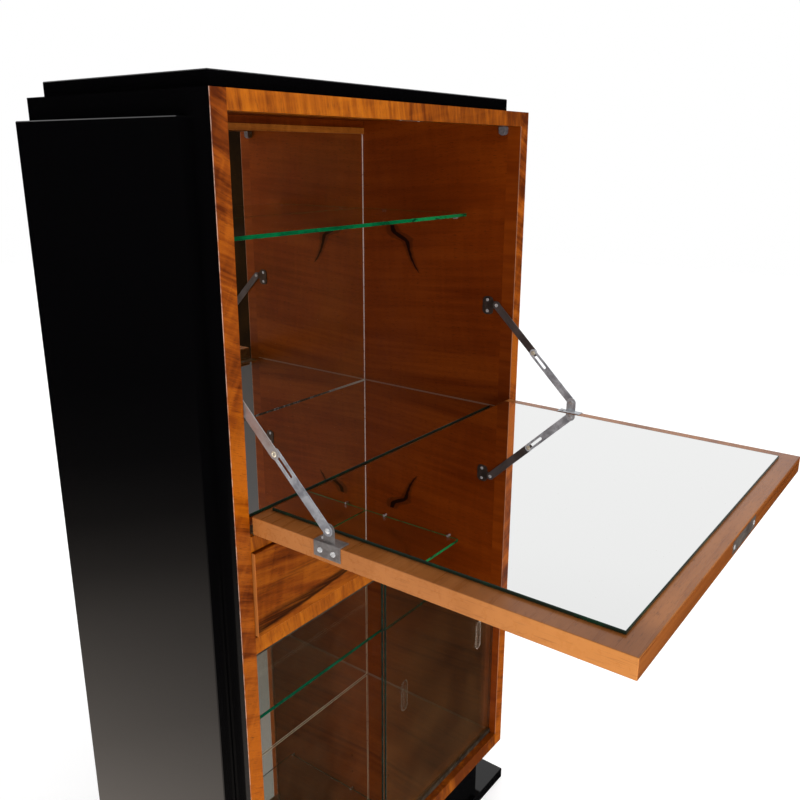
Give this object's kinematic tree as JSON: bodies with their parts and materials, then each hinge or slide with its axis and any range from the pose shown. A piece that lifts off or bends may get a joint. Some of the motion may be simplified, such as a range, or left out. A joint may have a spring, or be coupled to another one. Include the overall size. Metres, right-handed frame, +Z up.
{
  "type": "bar cabinet",
  "caption": "Tall bar cabinet with a stepped black case, walnut front, mirrored drop-front flap on folding stays, drawer and sliding glass panes.",
  "frame": {"origin": "centre of the foot plate's underside, on the floor", "axes": "+Z up, +X to the right across the front, the front faces -Y"},
  "size_m": [0.74, 0.849, 1.4],
  "materials": {
    "black_lacquer": "high-gloss black lacquer",
    "dark_board": "dark stained board",
    "interior_walnut": "satin red-brown walnut veneer",
    "front_walnut": "satin orange-brown walnut",
    "drawer_wood": "plain sanded wood",
    "mirror_glass": "silvered float glass with a polished edge",
    "shelf_glass": "clear float glass with green edges",
    "pane_glass": "clear sheet glass with ground pulls",
    "chrome_pins": "chromed turned pins",
    "track_metal": "dull extruded channel",
    "stay_steel": "nickelled steel, slightly dulled",
    "lock_steel": "aged steel",
    "hinge_brass": "dulled brass",
    "grey_buffer": "grey rubber buffer"
  },
  "bodies": {
    "cabinet": {"foot_plate": "black_lacquer", "plinth": "black_lacquer", "bottom_board": "dark_board", "drawer_board": "dark_board", "bar_floor_board": "interior_walnut", "top_board": "interior_walnut", "top_slab": "black_lacquer", "back_panel": "dark_board", "top_rail": "front_walnut", "flap_rail": "front_walnut", "drawer_rail": "front_walnut", "bottom_rail": "front_walnut", "bar_back_mirror": "mirror_glass", "bar_floor_mirror": "mirror_glass", "lower_back_mirror": "mirror_glass", "lower_floor_mirror": "mirror_glass", "bar_shelf": "shelf_glass", "bar_shelf_pins": "chrome_pins", "lower_shelf": "shelf_glass", "lower_shelf_pins": "chrome_pins", "lower_track": "track_metal", "upper_track": "track_metal", "hinge_case_leaf": "hinge_brass", "striker": "lock_steel", "flap_stops": "grey_buffer", "side_board_right": "black_lacquer", "side_board_left": "black_lacquer", "outer_panel_right": "black_lacquer", "outer_panel_left": "black_lacquer", "upper_lining_right": "interior_walnut", "upper_lining_left": "interior_walnut", "lower_lining_right": "interior_walnut", "lower_lining_left": "interior_walnut", "stile_upper_right": "front_walnut", "stile_upper_left": "front_walnut", "stile_lower_right": "front_walnut", "stile_lower_left": "front_walnut", "drawer_guide_right": "drawer_wood", "drawer_guide_left": "drawer_wood", "stay_wall_brackets": "stay_steel"},
    "flap": {"flap_panel": "front_walnut", "flap_mirror": "mirror_glass", "hinge_flap_leaf": "hinge_brass", "lock_case": "lock_steel", "escutcheon": "hinge_brass", "stay_flap_brackets": "stay_steel"},
    "lock_bolt": {"lock_bolt": "lock_steel"},
    "drawer": {"drawer_front": "front_walnut", "drawer_back": "drawer_wood", "drawer_bottom": "drawer_wood", "drawer_side_left": "drawer_wood", "drawer_side_right": "drawer_wood"},
    "pane_left": {"pane_left": "pane_glass"},
    "pane_right": {"pane_right": "pane_glass"},
    "upper_arm_left": {"stay_upper_arm_left": "stay_steel"},
    "slotted_arm_left": {"stay_slotted_arm_left": "stay_steel"},
    "upper_arm_right": {"stay_upper_arm_right": "stay_steel"},
    "slotted_arm_right": {"stay_slotted_arm_right": "stay_steel"}
  },
  "joints": [
    {"name": "flap_fold", "type": "hinge", "parent": "cabinet", "child": "flap", "pos_m": [0, -0.175, 0.8542], "axis": [-1, 0, 0], "range_deg": [0, 90]},
    {"name": "bolt_throw", "type": "slide", "parent": "flap", "child": "lock_bolt", "axis": [0, -1, 0], "range_m": [0, 0.008]},
    {"name": "drawer_slide", "type": "slide", "parent": "cabinet", "child": "drawer", "axis": [0, -1, 0], "range_m": [0, 0.2]},
    {"name": "pane_left_slide", "type": "slide", "parent": "cabinet", "child": "pane_left", "axis": [-1, 0, 0], "range_m": [0, 0.296]},
    {"name": "pane_right_slide", "type": "slide", "parent": "cabinet", "child": "pane_right", "axis": [-1, 0, 0], "range_m": [0, 0.296]},
    {"name": "upper_arm_left_pivot", "type": "hinge", "parent": "cabinet", "child": "upper_arm_left", "pos_m": [-0.3227, -0.1416, 1.0488], "axis": [1, 0, 0], "range_deg": [0, 124.33]},
    {"name": "slotted_arm_left_pivot", "type": "hinge", "parent": "flap", "child": "slotted_arm_left", "pos_m": [-0.3227, -0.301, 0.8953], "axis": [1, 0, 0], "range_deg": [0, 70.68]},
    {"name": "upper_arm_right_pivot", "type": "hinge", "parent": "cabinet", "child": "upper_arm_right", "pos_m": [0.3227, -0.1416, 1.0488], "axis": [1, 0, 0], "range_deg": [0, 124.33]},
    {"name": "slotted_arm_right_pivot", "type": "hinge", "parent": "flap", "child": "slotted_arm_right", "pos_m": [0.3227, -0.301, 0.8953], "axis": [1, 0, 0], "range_deg": [0, 70.68]}
  ],
  "couplings": [
    {"joint": "upper_arm_left_pivot", "follows": "flap_fold", "ratio": 1.3812},
    {"joint": "slotted_arm_left_pivot", "follows": "flap_fold", "ratio": 0.78512},
    {"joint": "upper_arm_right_pivot", "follows": "flap_fold", "ratio": 1.3812},
    {"joint": "slotted_arm_right_pivot", "follows": "flap_fold", "ratio": 0.78512}
  ]
}
